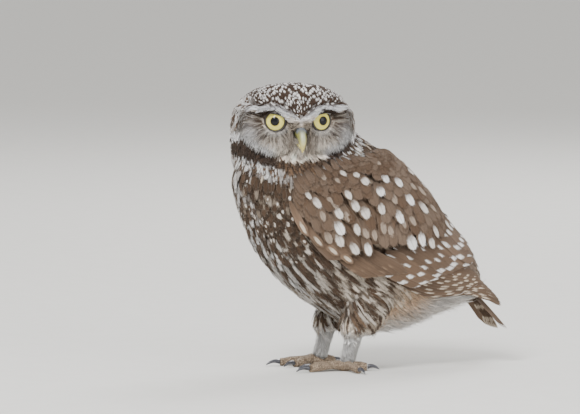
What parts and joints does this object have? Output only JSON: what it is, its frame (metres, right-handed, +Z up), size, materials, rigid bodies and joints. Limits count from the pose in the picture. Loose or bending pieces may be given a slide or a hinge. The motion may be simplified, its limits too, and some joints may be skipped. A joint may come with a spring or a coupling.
{
  "type": "little owl model",
  "caption": "Life-size still model of a small owl standing on its feet, body side-on, head turned over the left shoulder.",
  "frame": {"origin": "on the floor that the feet stand on, under the middle of the model's length and width", "axes": "+Z up, -Y the way the body faces, +X the owl's left side, which the head is turned towards"},
  "size_m": [0.0892, 0.1723, 0.1693],
  "materials": {
    "head_feathers": "soft matt feathers, dark brown flecked with white",
    "body_feathers": "soft matt feathers, white streaked with brown",
    "wing_feathers": "grey-brown feathers with white spots and pale bars",
    "tail_feathers": "brown feathers with pale buff bars",
    "leg_feathers": "short cream and buff down",
    "eye": "glossy lemon-yellow iris with a black pupil",
    "bill": "greenish-yellow horn, half gloss",
    "toe": "scaled tan skin with sparse bristles",
    "claw": "dark slate horn, smooth"
  },
  "bodies": {
    "root": {"head": "head_feathers", "neck": "body_feathers", "torso": "body_feathers", "wing_left": "wing_feathers", "wing_right": "wing_feathers", "tail": "tail_feathers", "thigh_left": "leg_feathers", "thigh_right": "leg_feathers", "shank_left": "leg_feathers", "shank_right": "leg_feathers", "foot_left": "toe", "foot_right": "toe", "claw_left_1": "claw", "claw_left_2": "claw", "claw_left_3": "claw", "claw_left_4": "claw", "claw_right_1": "claw", "claw_right_2": "claw", "claw_right_3": "claw", "claw_right_4": "claw", "eye_left": "eye", "eye_right": "eye", "bill_upper": "bill", "bill_lower": "bill"}
  },
  "joints": []
}
